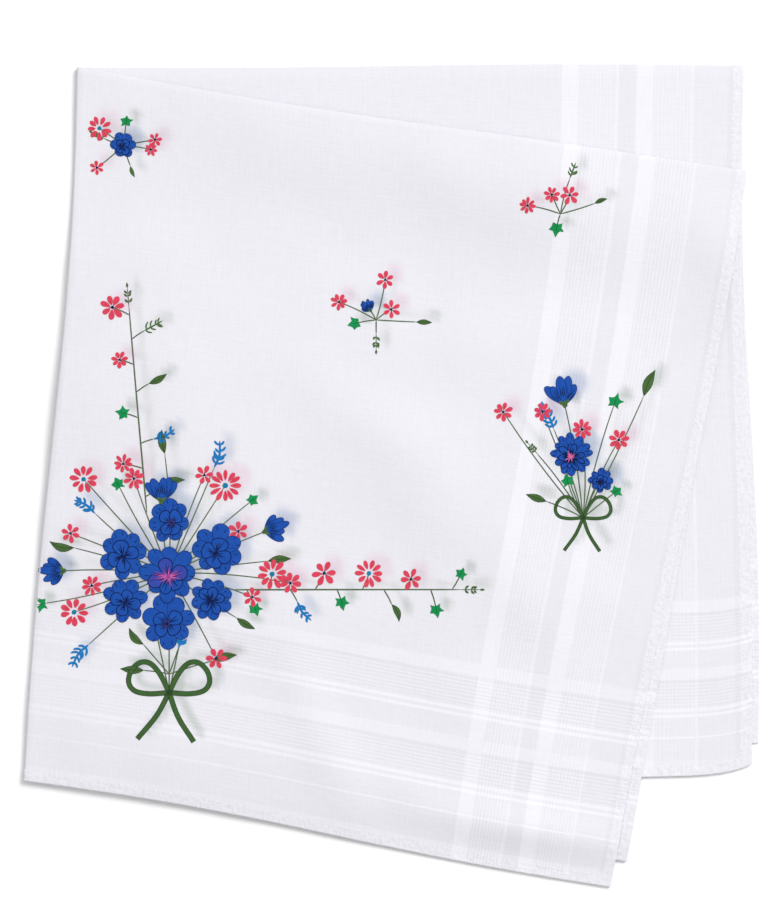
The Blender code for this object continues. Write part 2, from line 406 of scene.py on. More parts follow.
def lawn_cloth():
    """Cotton lawn, a fine plain weave bleached white: matt, a little cool, and so sheer that the
    lining's print shows through it; that show-through is painted into its colour as a soft tint.
    The satin bands are woven denser and paler, the ribs are crammed threads, and in the gaps
    threads are drawn apart."""
    finish = {"Roughness": 0.85, "Specular IOR Level": 0.15, "Sheen Weight": 0.08, "Sheen Roughness": 0.5}
    material, tree, shader = new_material("white_cotton_lawn", finish)
    places = add_node(tree, "ShaderNodeUVMap", {"uv_map": "flat_cloth"})
    split = add_node(tree, "ShaderNodeSeparateXYZ", {}, {0: places.outputs["UV"]})

    def maths(operation, *terms):
        return math_node(tree, operation, *terms)

    def sum_of(*terms):
        """The sum of (mask, weight) pairs."""
        total = maths("MULTIPLY", *terms[0])
        for mask, weight in terms[1:]:
            total = maths("ADD", total, maths("MULTIPLY", mask, weight))
        return total

    across = maths("MULTIPLY", split.outputs["X"], 1 / MM)
    down = maths("MULTIPLY", split.outputs["Y"], 1 / MM)
    from_side = maths("SUBTRACT", HALF_ACROSS, maths("ABSOLUTE", across))
    from_foot = maths("SUBTRACT", HALF_DOWN, maths("ABSOLUTE", down))
    # The far half's foot bands lie a little closer to its hem than the near half's
    far_half = maths("LESS_THAN", down, 0)
    closer = maths("ADD", maths("MULTIPLY", from_foot, FAR_STRETCH), FAR_SHIFT)
    foot_place = maths("ADD", from_foot, maths("MULTIPLY", far_half, closer))
    side = {name: band_ramp(tree, from_side, bands) for name, bands in SIDE_BANDS.items()}
    foot = {name: band_ramp(tree, foot_place, bands) for name, bands in FOOT_BANDS.items()}
    # The foot bands are fainter towards the left fold
    strength = add_node(
        tree,
        "ShaderNodeMapRange",
        {"From Min": 10.0, "From Max": 95.0, "To Min": 0.5, "To Max": 1.0},
        {"Value": maths("ABSOLUTE", across)},
    ).outputs[0]
    foot = {name: maths("MULTIPLY", mask, strength) for name, mask in foot.items()}
    hem = maths("LESS_THAN", maths("MINIMUM", from_side, from_foot), HEM_WIDTH)

    def rib_waves(distance, mask):
        """Crammed threads along a band."""
        wave = maths("SINE", maths("MULTIPLY", distance, 2 * math.pi / RIB_PITCH))
        return maths("MULTIPLY", wave, mask)

    # The side ribs are fainter on the far half
    near_share = maths("SUBTRACT", 1, maths("MULTIPLY", far_half, FAR_RIB_LOSS))
    side_ribs = maths("MULTIPLY", rib_waves(from_side, side["ribs"]), near_share)
    ribs = maths("ADD", side_ribs, rib_waves(foot_place, foot["ribs"]))

    def slubs(x_step, y_step, seed):
        """Soft unevenness, with these steps in millimetres across and down."""
        scaled = add_node(
            tree,
            "ShaderNodeMapping",
            {"Scale": (1 / (x_step * MM), 1 / (y_step * MM), 1), "Location": (seed, seed, 0)},
            {"Vector": places.outputs["UV"]},
        )
        grain = add_node(
            tree,
            "ShaderNodeTexNoise",
            {"noise_dimensions": "2D", "Scale": 1.0, "Detail": 2.0, "Roughness": 0.6},
            {"Vector": scaled.outputs[0]},
        )
        return maths("SUBTRACT", grain.outputs["Fac"], 0.5)

    # Uneven threads both ways: half a millimetre wide, coarser than lawn's own, so that they show
    threads = maths("ADD", slubs(0.5, 6.0, 3.0), slubs(6.0, 0.5, 8.0))
    mottle = slubs(1.6, 1.6, 9.0)
    # Puckers on the hem: a bump, and the same noise as painted light and shade in the colour
    pucker_bumps_and_painted_shade = maths("MULTIPLY", slubs(1.0, 1.0, 7.0), hem)
    satin = maths("MAXIMUM", side["satin"], maths("MULTIPLY", foot["satin"], 0.7))
    lines = maths("MAXIMUM", maths("MULTIPLY", side["lines"], 0.6), foot["lines"])

    # How white each place is, from the plain ground; on the hem this includes the puckers' light and shade,
    # painted in
    white = sum_of(
        (threads, 0.2),
        (mottle, 0.16),
        (satin, 0.31),
        (lines, 0.4),
        (ribs, 0.055),
        (side["ribs"], 0.1),
        (side["gaps"], -0.06),
        (foot["gaps"], -0.2),
        (hem, 0.1),
        (pucker_bumps_and_painted_shade, 0.8),
    )
    white = maths("ADD", white, GROUND_WHITE)
    tone = two_tones(tree, white, (0.0, 1.0), ("#D5D4DA", "#EBEAF0"))
    # Painted show-through: the lining's print is not modelled, and its blurred tint is painted into this
    # colour
    shown = add_node(tree, "ShaderNodeAttribute", {"attribute_name": "painted_show_through"})
    tinted = add_node(
        tree,
        "ShaderNodeVectorMath",
        {"operation": "MULTIPLY"},
        {0: tone, 1: shown.outputs["Color"]},
    )
    tree.links.new(tinted.outputs[0], shader["Base Color"])

    height = sum_of((threads, 1.0), (ribs, 0.4), (satin, 0.3), (lines, 0.5), (pucker_bumps_and_painted_shade, 4.0))
    bump = add_node(tree, "ShaderNodeBump", {"Strength": 0.35, "Distance": 0.00012}, {"Height": height})
    tree.links.new(bump.outputs["Normal"], shader["Normal"])
    return material


def printed_ink(name, ink, deeper):
    """Pigment printed on cotton: matt, as it has no film of its own. It sits a little thinner
    on the crossings of the threads, and in a soft cloud where more or less of it soaked in.
    Real threads are about 0.3 mm apart; these are wider apart, so that they show."""
    material, tree, shader = new_material(name, {"Roughness": 0.9, "Specular IOR Level": 0.12})
    places = add_node(tree, "ShaderNodeTexCoord")
    turned = add_node(
        tree,
        "ShaderNodeMapping",
        {"Rotation": (0.0, 0.0, math.radians(WEAVE_TURN))},
        {"Vector": places.outputs["Object"]},
    )
    split = add_node(tree, "ShaderNodeSeparateXYZ", {}, {0: turned.outputs[0]})
    threads = 2 * math.pi / (INK_THREAD_PITCH * MM)
    phases = [math_node(tree, "MULTIPLY", split.outputs[axis], threads) for axis in ("X", "Y")]
    weave = math_node(tree, "MULTIPLY", *(math_node(tree, "SINE", phase) for phase in phases))
    cloud = add_node(
        tree,
        "ShaderNodeTexNoise",
        {"Scale": 1 / (1.6 * MM), "Detail": 3.0, "Roughness": 0.65},
        {"Vector": places.outputs["Object"]},
    )
    soaked = math_node(tree, "MULTIPLY_ADD", weave, 0.22, cloud.outputs["Fac"])
    tree.links.new(two_tones(tree, soaked, (0.25, 0.78), (deeper, ink)), shader["Base Color"])
    bump = add_node(tree, "ShaderNodeBump", {"Strength": 0.3, "Distance": 0.00008}, {"Height": weave})
    tree.links.new(bump.outputs["Normal"], shader["Normal"])
    return material


def sewing_thread():
    """Mercerised cotton thread, bleached white, with a slight gloss on each stitch."""
    values = {"Roughness": 0.55, "Specular IOR Level": 0.35}
    material, tree, shader = new_material("white_sewing_thread", values)
    places = add_node(tree, "ShaderNodeTexCoord")
    grain = add_node(
        tree,
        "ShaderNodeTexNoise",
        {"Scale": 1 / (0.5 * MM), "Detail": 1.0},
        {"Vector": places.outputs["Object"]},
    )
    tone = two_tones(tree, grain.outputs["Fac"], (0.0, 1.0), ("#E0DFE5", "#F0EFF4"))
    tree.links.new(tone, shader["Base Color"])
    return material


def seamless_paper():
    """Matt seamless paper under the cloth, nearly white."""
    values = {"Base Color": srgb("#F9F9FA"), "Roughness": 0.9, "Specular IOR Level": 0.0}
    return new_material("matt_white_paper", values)[0]


# ---------------------------------------------------------------- the cloth's mesh


def make_cloth(material, tint):
    """The folded sheet: a grid on its middle surface, thickened both ways and more at the hem.
    The tint, the lining print's painted show-through as a colour at each point of the grid, is kept for the
    material."""
    sheet = bmesh.new()
    # a colour at each point for the painted show-through of the lining's print
    shown = sheet.verts.layers.float_color.new("painted_show_through")
    thickness = sheet.verts.layers.deform.verify()
    flat = sheet.loops.layers.uv.new("flat_cloth")
    places = in_frame(GRID)
    across, down = np.meshgrid(COLUMNS, ROWS)
    weights = hem_share(across, down)
    grid = [[sheet.verts.new(place) for place in row] for row in places]
    for row, row_weights, row_tint in zip(grid, weights, tint):
        for vertex, weight, colour in zip(row, row_weights, row_tint):
            vertex[thickness][0] = float(weight)
            vertex[shown] = (*colour, 1.0)
    for j in range(len(ROWS) - 1):
        for i in range(len(COLUMNS) - 1):
            corners = ((j, i), (j + 1, i), (j + 1, i + 1), (j, i + 1))
            face = sheet.faces.new([grid[row][column] for row, column in corners])
            for loop, (row, column) in zip(face.loops, corners):
                loop[flat].uv = (COLUMNS[column] * MM, ROWS[row] * MM)
    mesh = bpy.data.meshes.new("handkerchief")
    sheet.to_mesh(mesh)
    sheet.free()
    mesh.materials.append(material)
    mesh.shade_smooth()
    cloth = add_object("handkerchief", mesh)
    cloth.vertex_groups.new(name="hem")
    thicken = cloth.modifiers.new("thickness", "SOLIDIFY")
    thicken.thickness = HEM_THICKNESS * MM
    thicken.offset = 0.0
    thicken.use_even_offset = False
    thicken.vertex_group = "hem"
    thicken.thickness_vertex_group = SHEET / HEM_THICKNESS
    return cloth


# ---------------------------------------------------------------- the printed posies

LIFT = 0.05  # the lowest ink above the cloth's faces
LIFT_STEP = 0.005  # and each later layer above the one before
# The lining's print is not modelled; these place and soften its show-through, which is painted into the show
# ply's colour
LINING_SHIFT = (2.0, 1.8)  # the lining's posies lie this far off the show's: across, and towards the crease
BLUR = 0.52  # how far what shows through is blurred
BLUR_CELL = 0.4
SHOW_THROUGH = 1.4  # how soon covered cells reach the full tone
STEM_LAYER, LEAF_LAYER, RED_LAYER, BLOOM_LAYER = 0, 2, 6, 10
LAYERS_A_BLOOM = 14
LINE_STEP = 0.7  # a place about every so many millimetres along a stroke
HAND_SEED = 5

# Inks, each with the tone it has where more of it has soaked in
INKS = {
    # name: (ink, deeper tone)
    "coral_red": ("#DA4A60", "#CB3A50"),
    "deep_red": ("#B92E45", "#AD263C"),
    "bright_blue": ("#2053AC", "#19479A"),
    "deep_blue": ("#153A84", "#123273"),
    "navy_blue": ("#0F2154", "#0A1740"),
    "magenta_purple": ("#9A4294", "#7A4198"),
    "heart_pink": ("#E0709E", "#CF5C92"),
    "violet_blue": ("#3A4CA6", "#31429A"),
    "wine_red": ("#5A2240", "#421B38"),
    "teal_blue": ("#1C7EA6", "#156A90"),
    "fern_blue": ("#1F7ABC", "#1A6CAA"),
    "ivy_green": ("#1A9150", "#147E45"),
    "dark_ivy": ("#0F5A38", "#0C4A2E"),
    "leaf_green": ("#4B6B3A", "#405D32"),
    "bow_green": ("#426436", "#37562E"),
    "stem_green": ("#5A6E50", "#4A5D42"),
    "dark_green": ("#2E4928", "#263D22"),
}
PRINTS = {
    # piece: its inks
    "red_print": ("coral_red", "deep_red", "magenta_purple", "heart_pink", "wine_red"),
    "blue_print": ("bright_blue", "violet_blue", "deep_blue", "navy_blue", "fern_blue"),
    "green_print": ("leaf_green", "bow_green", "stem_green", "dark_green"),
    "ivy_print": ("ivy_green", "dark_ivy", "teal_blue"),
}

SHAPES = []  # each printed shape: (ink, places, faces, layer)
hand = random.Random(HAND_SEED)


def direction(degrees):
    return np.array((math.cos(math.radians(degrees)), math.sin(math.radians(degrees))))


def uneven(value, share):
    """A value as a hand would repeat it: within this share of it, more or less."""
    return value * (1 + hand.uniform(-share, share))


def smooth_line(points):
    """A smooth line through the points, with places close together."""
    points = np.array(points, float)
    if len(points) == 2:
        count = max(3, int(np.hypot(*(points[1] - points[0])) / LINE_STEP) + 2)
        share = np.linspace(0, 1, count)[:, None]
        return points[0] + share * (points[1] - points[0])
    padded = np.vstack((2 * points[0] - points[1], points, 2 * points[-1] - points[-2]))
    line = []
    for a, b, c, d in zip(padded, padded[1:], padded[2:], padded[3:]):
        count = max(2, int(np.hypot(*(c - b)) / LINE_STEP) + 1)
        for t in np.arange(count) / count:
            line.append(b + t / 2 * (c - a + t * (2 * a - 5 * b + 4 * c - d + t * (3 * b - a - 3 * c + d))))
    return np.array(line + [points[-1]])


def strip(ink, line, half_widths, layer):
    """A band of ink along a line."""
    along = np.gradient(line, axis=0)
    along /= np.linalg.norm(along, axis=1, keepdims=True)
    aside = np.stack((-along[:, 1], along[:, 0]), axis=1) * np.broadcast_to(half_widths, len(line))[:, None]
    count = len(line)
    places = np.vstack((line + aside, line - aside))
    faces = [(i, count + i, count + i + 1, i + 1) for i in range(count - 1)]
    SHAPES.append((ink, places, faces, layer))
    return places


def blot(ink, centre, radii, layer, turn=0.0, squeeze=1.0):
    """A filled shape round a centre. Radii are a list, even round the turn; squeeze narrows it."""
    count = len(radii)
    angles = 2 * np.pi * np.arange(count) / count
    own = np.stack((np.cos(angles) * radii, np.sin(angles) * np.array(radii) * squeeze), axis=1)
    across, up = direction(turn), direction(turn + 90)
    rim = np.array(centre) + own[:, :1] * across + own[:, 1:] * up
    faces = [(0, i + 1, (i + 1) % count + 1) for i in range(count)]
    SHAPES.append((ink, np.vstack((np.array(centre)[None], rim)), faces, layer))


def disc(ink, centre, radius, layer, turn=0.0, squeeze=1.0):
    blot(ink, centre, [uneven(radius, 0.08) for _ in range(12)], layer, turn, squeeze)


def stroke(ink, points, width, layer, taper=0.0):
    """A stroke of this width. Taper is the share that its far end loses."""
    line = smooth_line(points)
    share = np.linspace(0, 1, len(line))
    rounded = np.sqrt(np.clip(1 - ((share - 0.5) * 2) ** 10, 0.12, 1))
    strip(ink, line, width / 2 * (1 - taper * share) * rounded, layer)


def eased(count):
    """Shares from 0 to 1, closer together at both ends."""
    return (1 - np.cos(np.pi * np.linspace(0, 1, count))) / 2


def petal(ink, edge_ink, root, degrees, length, width, layer, edge=0.16, fullness=1.5, bend=0.0):
    """A petal from its root, widest past its middle, with its edge drawn in a darker ink."""
    share = eased(11)
    way, aside = direction(degrees), direction(degrees + 90)
    line = root + length * (share[:, None] * way + bend * np.sin(np.pi * share)[:, None] * aside)
    half = width / 2 * np.sqrt(np.clip(np.sin(np.pi * share**fullness), 0.0004, 1))
    places = strip(ink, line, half, layer)
    if edge_ink:
        outline = np.vstack((places[2:11], places[:12:-1]))
        strip(edge_ink, outline, edge / 2, layer + 1)


def leaf(base, tip, width, bend=0.0, ink="leaf_green", layer=LEAF_LAYER):
    """A pointed leaf with a darker midrib. Bend is how far it bows to the left, as a share of its length."""
    base, tip = np.array(base, float), np.array(tip, float)
    run = tip - base
    share = eased(11)
    aside = np.array((-run[1], run[0])) * bend
    line = base + share[:, None] * run + np.sin(np.pi * share)[:, None] * aside
    half = width / 2 * np.clip(np.sin(np.pi * share**0.9), 0.02, 1) ** 1.15
    strip(ink, line, half, layer)
    if width > 0.9:
        strip("dark_green", line[1:-2], 0.07, layer + 1)
        for edge in (1, -1):
            along = np.gradient(line, axis=0)
            along /= np.linalg.norm(along, axis=1, keepdims=True)
            rim = line + edge * half[:, None] * np.stack((-along[:, 1], along[:, 0]), axis=1)
            strip("dark_green", rim, 0.05, layer + 1)


IVY_RADII = (1.1, 0.7, 0.62, 1.0, 0.62, 0.6, 0.86, 0.52, 0.4, 0.52, 0.86, 0.6, 0.62, 1.0, 0.62, 0.7)


def ivy_leaf(x, y, size, turn):
    """A small five-pointed leaf that points to turn."""
    radii = [uneven(size / 1.75 * radius, 0.13) for radius in IVY_RADII]
    blot("ivy_green", (x, y), radii, LEAF_LAYER, turn)
    along = 0.3 * size * direction(turn)
    stroke("dark_ivy", [(x, y) - along, (x, y) + along], 0.14, LEAF_LAYER + 1)


def side_starts(points, count, first, spare):
    """Places along a line where things leave it: (share, place, run to the next, its way in degrees)."""
    line = smooth_line(points)
    for i in range(count):
        share = (i + first) / (count + spare)
        at = min(int(share * (len(line) - 1)), len(line) - 2)
        run = line[at + 1] - line[at]
        yield share, line[at], run, math.degrees(math.atan2(run[1], run[0]))


def fern(points, teeth, length, ink="fern_blue", width=0.55):
    """A frond: a stroke with short curved teeth that lean to its tip."""
    stroke(ink, points, width, STEM_LAYER + 1, 0.2)
    for share, place, run, ahead in side_starts(points, teeth, 0.6, 0.3):
        for side in (1, -1):
            reach = uneven(length, 0.2) * (1.1 - 0.4 * share)
            start = place + run * hand.uniform(0, 0.6)
            elbow = start + 0.55 * reach * direction(ahead + side * 62)
            end = elbow + 0.5 * reach * direction(ahead + side * 34)
            stroke(ink, [start, elbow, end], width * 0.9, STEM_LAYER + 2)


def sprig(points, pairs, length, width):
    """A thin stem with slim leaves at its sides, and one at its tip."""
    stroke("stem_green", points, 0.24, STEM_LAYER, 0.3)
    for share, place, _, ahead in side_starts(points, pairs, 0.8, 0.5):
        for side in (1, -1):
            reach = uneven(length, 0.15) * (1 - 0.25 * share)
            way = direction(ahead + side * uneven(42, 0.15))
            start = place + 0.15 * way
            leaf(start, start + reach * way, width, 0.08 * side)
    line = smooth_line(points)
    run = line[-1] - line[-2]
    leaf(line[-1] - 0.1 * run, line[-1] + length * run / np.hypot(*run), width)


def daisy(x, y, size, petals, turn, heart="teal"):
    """A red daisy. A large one has a blue-green disc inside a ring of bare cloth, a small one a dark dot."""
    radius = size / 2
    centre = np.array((x, y))
    bare = 0.3 if heart == "teal" else 0.17
    for i in range(petals):
        way = turn + 360 * i / petals + hand.uniform(-4, 4)
        root = centre + bare * radius * direction(way)
        length = uneven((1 - bare) * radius, 0.09)
        width = uneven(min(3.35 * radius / petals, 0.47 * radius), 0.1)
        petal("coral_red", None, root, way, length, width, RED_LAYER, fullness=1.45)
        vein = [root + 0.12 * length * direction(way), root + 0.62 * length * direction(way)]
        stroke("deep_red", vein, 0.13, RED_LAYER + 1, 0.5)
    if heart == "teal":
        disc("teal_blue", centre, 0.17 * radius, RED_LAYER + 2)
    else:
        disc("navy_blue", centre, max(0.13 * radius, 0.26), RED_LAYER + 2)
        for i in range(3):
            way = direction(turn + 120 * i + 20)
            stroke("navy_blue", [centre, centre + 0.3 * radius * way], 0.15, RED_LAYER + 3)


def bloom(x, y, size, petals, turn, level, heart="navy", tall=1.0):
    """A blue flower: a ring of broad petals, a smaller ring on it, and dark veins from a low heart."""
    centre = np.array((x, y))
    radius = size / 2
    base = BLOOM_LAYER + level * LAYERS_A_BLOOM
    middle = centre + 0.14 * radius * direction(hand.uniform(220, 320))
    for i in range(petals):
        way = turn + 360 * i / petals + hand.uniform(-7, 7)
        stretch = 1 + (tall - 1) * abs(math.sin(math.radians(way)))
        length = uneven(radius * stretch, 0.09)
        width = uneven(4.5 * radius / petals, 0.12)
        layer = base + (0 if i % 2 and i == petals - 1 else 2 * (i % 2))
        petal("bright_blue", "deep_blue", centre, way, length, width, layer, 0.17, hand.uniform(1.5, 2.1))
        for side in (-1, 1):
            lean = direction(way + side * uneven(70 / petals, 0.3))
            reach = uneven(0.7, 0.12) * length
            vein = [centre + reach * lean, centre + (reach + 0.2 * length) * lean]
            stroke("navy_blue", vein, 0.25, layer + 1, 0.5)
    inner = max(petals - 3, 4)
    for i in range(inner):
        way = turn + 360 * (i + 0.5) / inner + hand.uniform(-12, 12)
        tinged = heart == "magenta" and math.sin(math.radians(way - 20)) > -0.4
        ink = "violet_blue" if tinged else "bright_blue"
        length = uneven(0.66 * radius, 0.16)
        width = uneven(2.5 * radius / inner, 0.16)
        layer = base + 4 + 2 * (i % 2)
        petal(ink, "navy_blue", middle, way, length, width, layer, 0.2, 1.6, hand.uniform(-0.08, 0.08))
        for side in (-1, 0, 1):
            lean = direction(way + side * uneven(70 / inner, 0.3))
            reach = uneven(0.72 - 0.14 * abs(side), 0.25) * length
            vein = [middle + 0.1 * radius * lean, middle + reach * lean]
            stroke("navy_blue", vein, 0.34, base + 8, 0.7)
    if heart == "navy":
        disc("navy_blue", middle, 0.12 * radius, base + 10, turn, 0.7)
        return
    ink = {"magenta": "magenta_purple", "pink": "heart_pink", "wine": "wine_red"}[heart]
    count, reach = {"magenta": (20, 0.5), "pink": (10, 0.24), "wine": (6, 0.2)}[heart]
    for i in range(count):
        low = 0.62 if heart == "magenta" else 1.0
        way = direction(turn + 360 * i / count + hand.uniform(-8, 8)) * (1.0, low)
        far = uneven(reach * radius, 0.35)
        stroke(ink, [middle + 0.04 * radius * way, middle + far * way], 0.3, base + 10 + i % 2, 0.5)
        if heart == "magenta" and i % 2:
            thread = [middle + 0.05 * radius * way, middle + 0.6 * far * way]
            stroke("heart_pink", thread, 0.24, base + 12, 0.6)
    disc("navy_blue" if heart == "wine" else ink, middle, 0.07 * radius, base + 13)


def bell(x, y, size, turn):
    """A half-open blue flower from the side, its petals fanned about turn, in a green cup."""
    base = np.array((x, y)) - 0.5 * size * direction(turn)
    petals = 5
    middle = (petals - 1) / 2
    for place, i in enumerate(sorted(range(petals), key=lambda i: -abs(i - middle))):
        layer = BLOOM_LAYER + 2 * place
        lean = (i - middle) * 100 / petals + hand.uniform(-6, 6)
        way, aside = direction(turn + lean), direction(turn + lean + 90)
        length = uneven(size * (1.04 - 0.005 * abs(lean)), 0.12)
        width = uneven(0.33 * size, 0.1)
        petal("bright_blue", "deep_blue", base, turn + lean, length, width, layer, 0.17)
        for side in (-1, 0, 1):
            start = base + hand.uniform(0.18, 0.3) * size * way + 0.07 * side * size * aside
            vein = [start, start + uneven(0.36, 0.25) * size * direction(turn + 1.2 * lean)]
            stroke("navy_blue", vein, 0.28, layer + 1, 0.6)
    cup = BLOOM_LAYER + 12
    disc("leaf_green", base, 0.12 * size, cup, turn, 0.8)
    for side in (-50, 50):
        leaf(base, base + 0.26 * size * direction(turn + side), 0.13 * size, 0, "leaf_green", cup)


def ribbon(points, width):
    """A bow's ribbon, with its edges drawn a little darker."""
    line = smooth_line(points)
    places = strip("bow_green", line, width / 2, LEAF_LAYER)
    strip("dark_green", places[: len(line)], 0.07, LEAF_LAYER + 1)
    strip("dark_green", places[len(line) :], 0.07, LEAF_LAYER + 1)


def branch(root, degrees, length, bend, width=0.3):
    """A curved stem. Bend is how far its tip leaves its first way, to the left, as a share of its length.
    Returns its points and the way that its tip faces, in degrees."""
    way, aside = direction(degrees), direction(degrees + 90)
    shares = (0, 0.35, 0.7, 1)
    points = [root + length * (share * way + bend * share**2 * aside) for share in shares]
    stroke("stem_green", points, width, STEM_LAYER, 0.2)
    return points, degrees + math.degrees(math.atan(2 * bend))


def at_tip(carries, tip, ahead, size):
    """What a stem carries at its tip."""
    x, y = tip
    far = tip + size * direction(ahead)
    if carries == "daisy":
        daisy(x, y, size, hand.choice((6, 6, 7, 8)), ahead, "dark")
    elif carries == "great_daisy":
        daisy(x, y, size, hand.choice((9, 10, 12)), ahead, "teal")
    elif carries == "bell":
        bell(x, y, size, ahead)
    elif carries == "ivy":
        ivy_leaf(x, y, size, ahead)
    elif carries == "leaf":
        leaf(tip, far, 0.33 * size, hand.uniform(-0.1, 0.14))
    elif carries == "blue_frond":
        curled = [tip, (tip + far) / 2, far + 0.2 * size * direction(ahead + 90)]
        fern(curled, max(3, int(size)), 0.3 * size)
    elif carries == "green_frond":
        fern([tip, far], max(3, int(size)), 0.34 * size, "leaf_green", 0.36)
    elif carries == "twig":
        sprig([tip, far], 3, 0.3 * size, 0.5)


def grow(root, stems):
    """Stems from one root. Rows: (degrees, length, bend, what it carries, its size)."""
    for degrees, length, bend, carries, size in stems:
        points, ahead = branch(root, degrees, length, bend)
        at_tip(carries, points[-1], ahead, size)


def spread(root, near, far, start, end, carried):
    """Stems fanned out from a root, from one way to another, long and short by turns."""
    step = (end - start) / (len(carried) - 1)
    for i, (carries, size) in enumerate(carried):
        degrees = start + step * (i + hand.uniform(-0.3, 0.3))
        reach = uneven(near if i % 2 else far, 0.15)
        points, ahead = branch(root, degrees, reach, hand.uniform(-0.12, 0.12), 0.28)
        at_tip(carries, points[-1], ahead, uneven(size, 0.1))


def trail(root, degrees, length, bend, carried):
    """A long stem with stalks left and right by turns, each carrying something, and a twig at its tip."""
    points, ahead = branch(root, degrees, length, bend, 0.36)
    line = smooth_line(points)
    for i, (carries, size) in enumerate(carried):
        side = 1 if i % 2 else -1
        place = line[int((i + 0.7) / len(carried) * (len(line) - 1))]
        stalk = (degrees + side * uneven(60, 0.2), uneven(3.5, 0.3), 0.1 * side)
        grow(place, [(*stalk, carries, uneven(size, 0.1))])
    at_tip("twig", points[-1], ahead, 4.0)


def bow(knot, width, reach):
    """A ribbon bow: a loop and a tail to each side."""
    for side in (1, -1):
        way, aside = direction(90 - 60 * side), direction(180 - 60 * side)
        turn = np.linspace(0, math.pi, 9)
        rim = np.stack((reach * np.sin(turn), 0.36 * reach * np.sin(2 * turn)), axis=1)
        ribbon([knot + a * way + b * aside for a, b in rim], width)
        tail = direction(270 + uneven(24, 0.2) * side)
        end = knot + 1.2 * reach * tail + (0.15 * reach * side, 0)
        ribbon([knot, knot + 0.6 * reach * tail, end], width)
    disc("dark_green", knot, 0.7 * width, LEAF_LAYER + 2)


def main_posy():
    """The large posy in the corner: a ring of blue flowers round one, sprays about them, and a bow."""
    heart, knot = np.array((20.0, -110.0)), np.array((20.0, -136.0))
    for degrees in (78, 90, 102):
        branch(knot, degrees, 16, 0.0)
    upwards = [
        *(("leaf", 5.0), ("daisy", 4.5), ("blue_frond", 5.0), ("ivy", 3.0)),
        *(("leaf", 4.0), ("daisy", 4.0), ("green_frond", 4.0), ("daisy", 5.0)),
    ]
    sideways = [
        *(("ivy", 3.0), ("great_daisy", 6.5), ("blue_frond", 4.5), ("daisy", 5.0), ("ivy", 3.0)),
        *(("great_daisy", 6.0), ("leaf", 4.0), ("daisy", 4.5), ("ivy", 3.0), ("ivy", 2.5)),
    ]
    trail(heart + 14.0 * direction(110), 95, 45, 0.0, upwards)
    trail(heart + 14.0 * direction(-15), 0, 50, 0.0, sideways)
    around = [
        *(("daisy", 4.5), ("leaf", 5.5), ("bell", 5.5), ("daisy", 4.5)),
        *(("ivy", 3.0), ("great_daisy", 6.5), ("blue_frond", 5.5)),
    ]
    spread(heart, 20, 25, 0, 220, 3 * around)
    low = [("leaf", 5.0), ("blue_frond", 5.0), ("leaf", 5.0), ("leaf", 5.0)]
    spread(knot + (0.0, 4.0), 6, 10, 10, 170, low)
    spread(heart, 18, 21, 295, 345, [("daisy", 4.5), ("leaf", 5.0), ("daisy", 4.5)])
    for i in range(6):
        degrees = 30 + 60 * (i + hand.uniform(-0.12, 0.12))
        place = heart + uneven(11.0, 0.06) * direction(degrees)
        middle = "wine" if i % 3 == 1 else "navy"
        bloom(*place, uneven(10.0, 0.1), hand.choice((7, 8)), degrees, i % 2, middle, 1.04)
    bloom(*heart, 12.0, 8, 0, 2, "magenta", 1.0)
    bow(knot, 1.0, 9.5)


def side_posy():
    """The upright posy by the side hem, tied with a thin bow."""
    knot = np.array((110.0, -98.0))
    tall = [
        *(("leaf", 6.0), ("daisy", 4.2), ("ivy", 3.0), ("daisy", 4.2), ("bell", 6.0)),
        *(("blue_frond", 6.0), ("daisy", 4.2), ("twig", 3.0), ("daisy", 4.2)),
    ]
    spread(knot, 18, 27, 60, 130, tall)
    spread(knot, 8, 10, 40, 150, [("ivy", 2.6), ("leaf", 4.5), ("ivy", 2.8), ("leaf", 5.0)])
    bloom(*(knot + 14.0 * direction(100)), 9.0, 12, 0, 0, "pink", 1.0)
    bloom(*(knot + 9.0 * direction(65)), 5.0, 8, 0, 1, "navy")
    bow(knot, 0.6, 6.5)


def centre_sprig():
    """The small sprig near the quarter's middle."""
    root = np.array((65.0, -55.0))
    carried = [
        *(("leaf", 3.5), ("daisy", 3.9), ("daisy", 3.9)),
        *(("bell", 2.5), ("daisy", 3.9), ("ivy", 3.0)),
    ]
    spread(root, 4, 8, 0, 180, carried)
    grow(root, [(270, 3.0, 0.0, "twig", 3.5)])


def upper_sprig():
    """The small sprig near the end of the crease."""
    root = np.array((105.0, -32.0))
    carried = [("leaf", 3.0), ("daisy", 3.8), ("green_frond", 3.5), ("daisy", 3.8), ("daisy", 3.4)]
    spread(root, 4, 7, 20, 160, carried)
    grow(root, [(250, 3.0, 0.1, "ivy", 3.2)])


def fold_posy():
    """The small posy by the left fold."""
    heart = np.array((10.0, -17.0))
    carried = [
        *(("daisy", 3.0), ("ivy", 2.8), ("great_daisy", 5.5), ("twig", 3.0)),
        *(("daisy", 3.0), ("leaf", 2.8), ("daisy", 3.0)),
    ]
    spread(heart, 5, 7, 20, 340, carried)
    bloom(*heart, 5.4, 6, 0, 0, "navy")


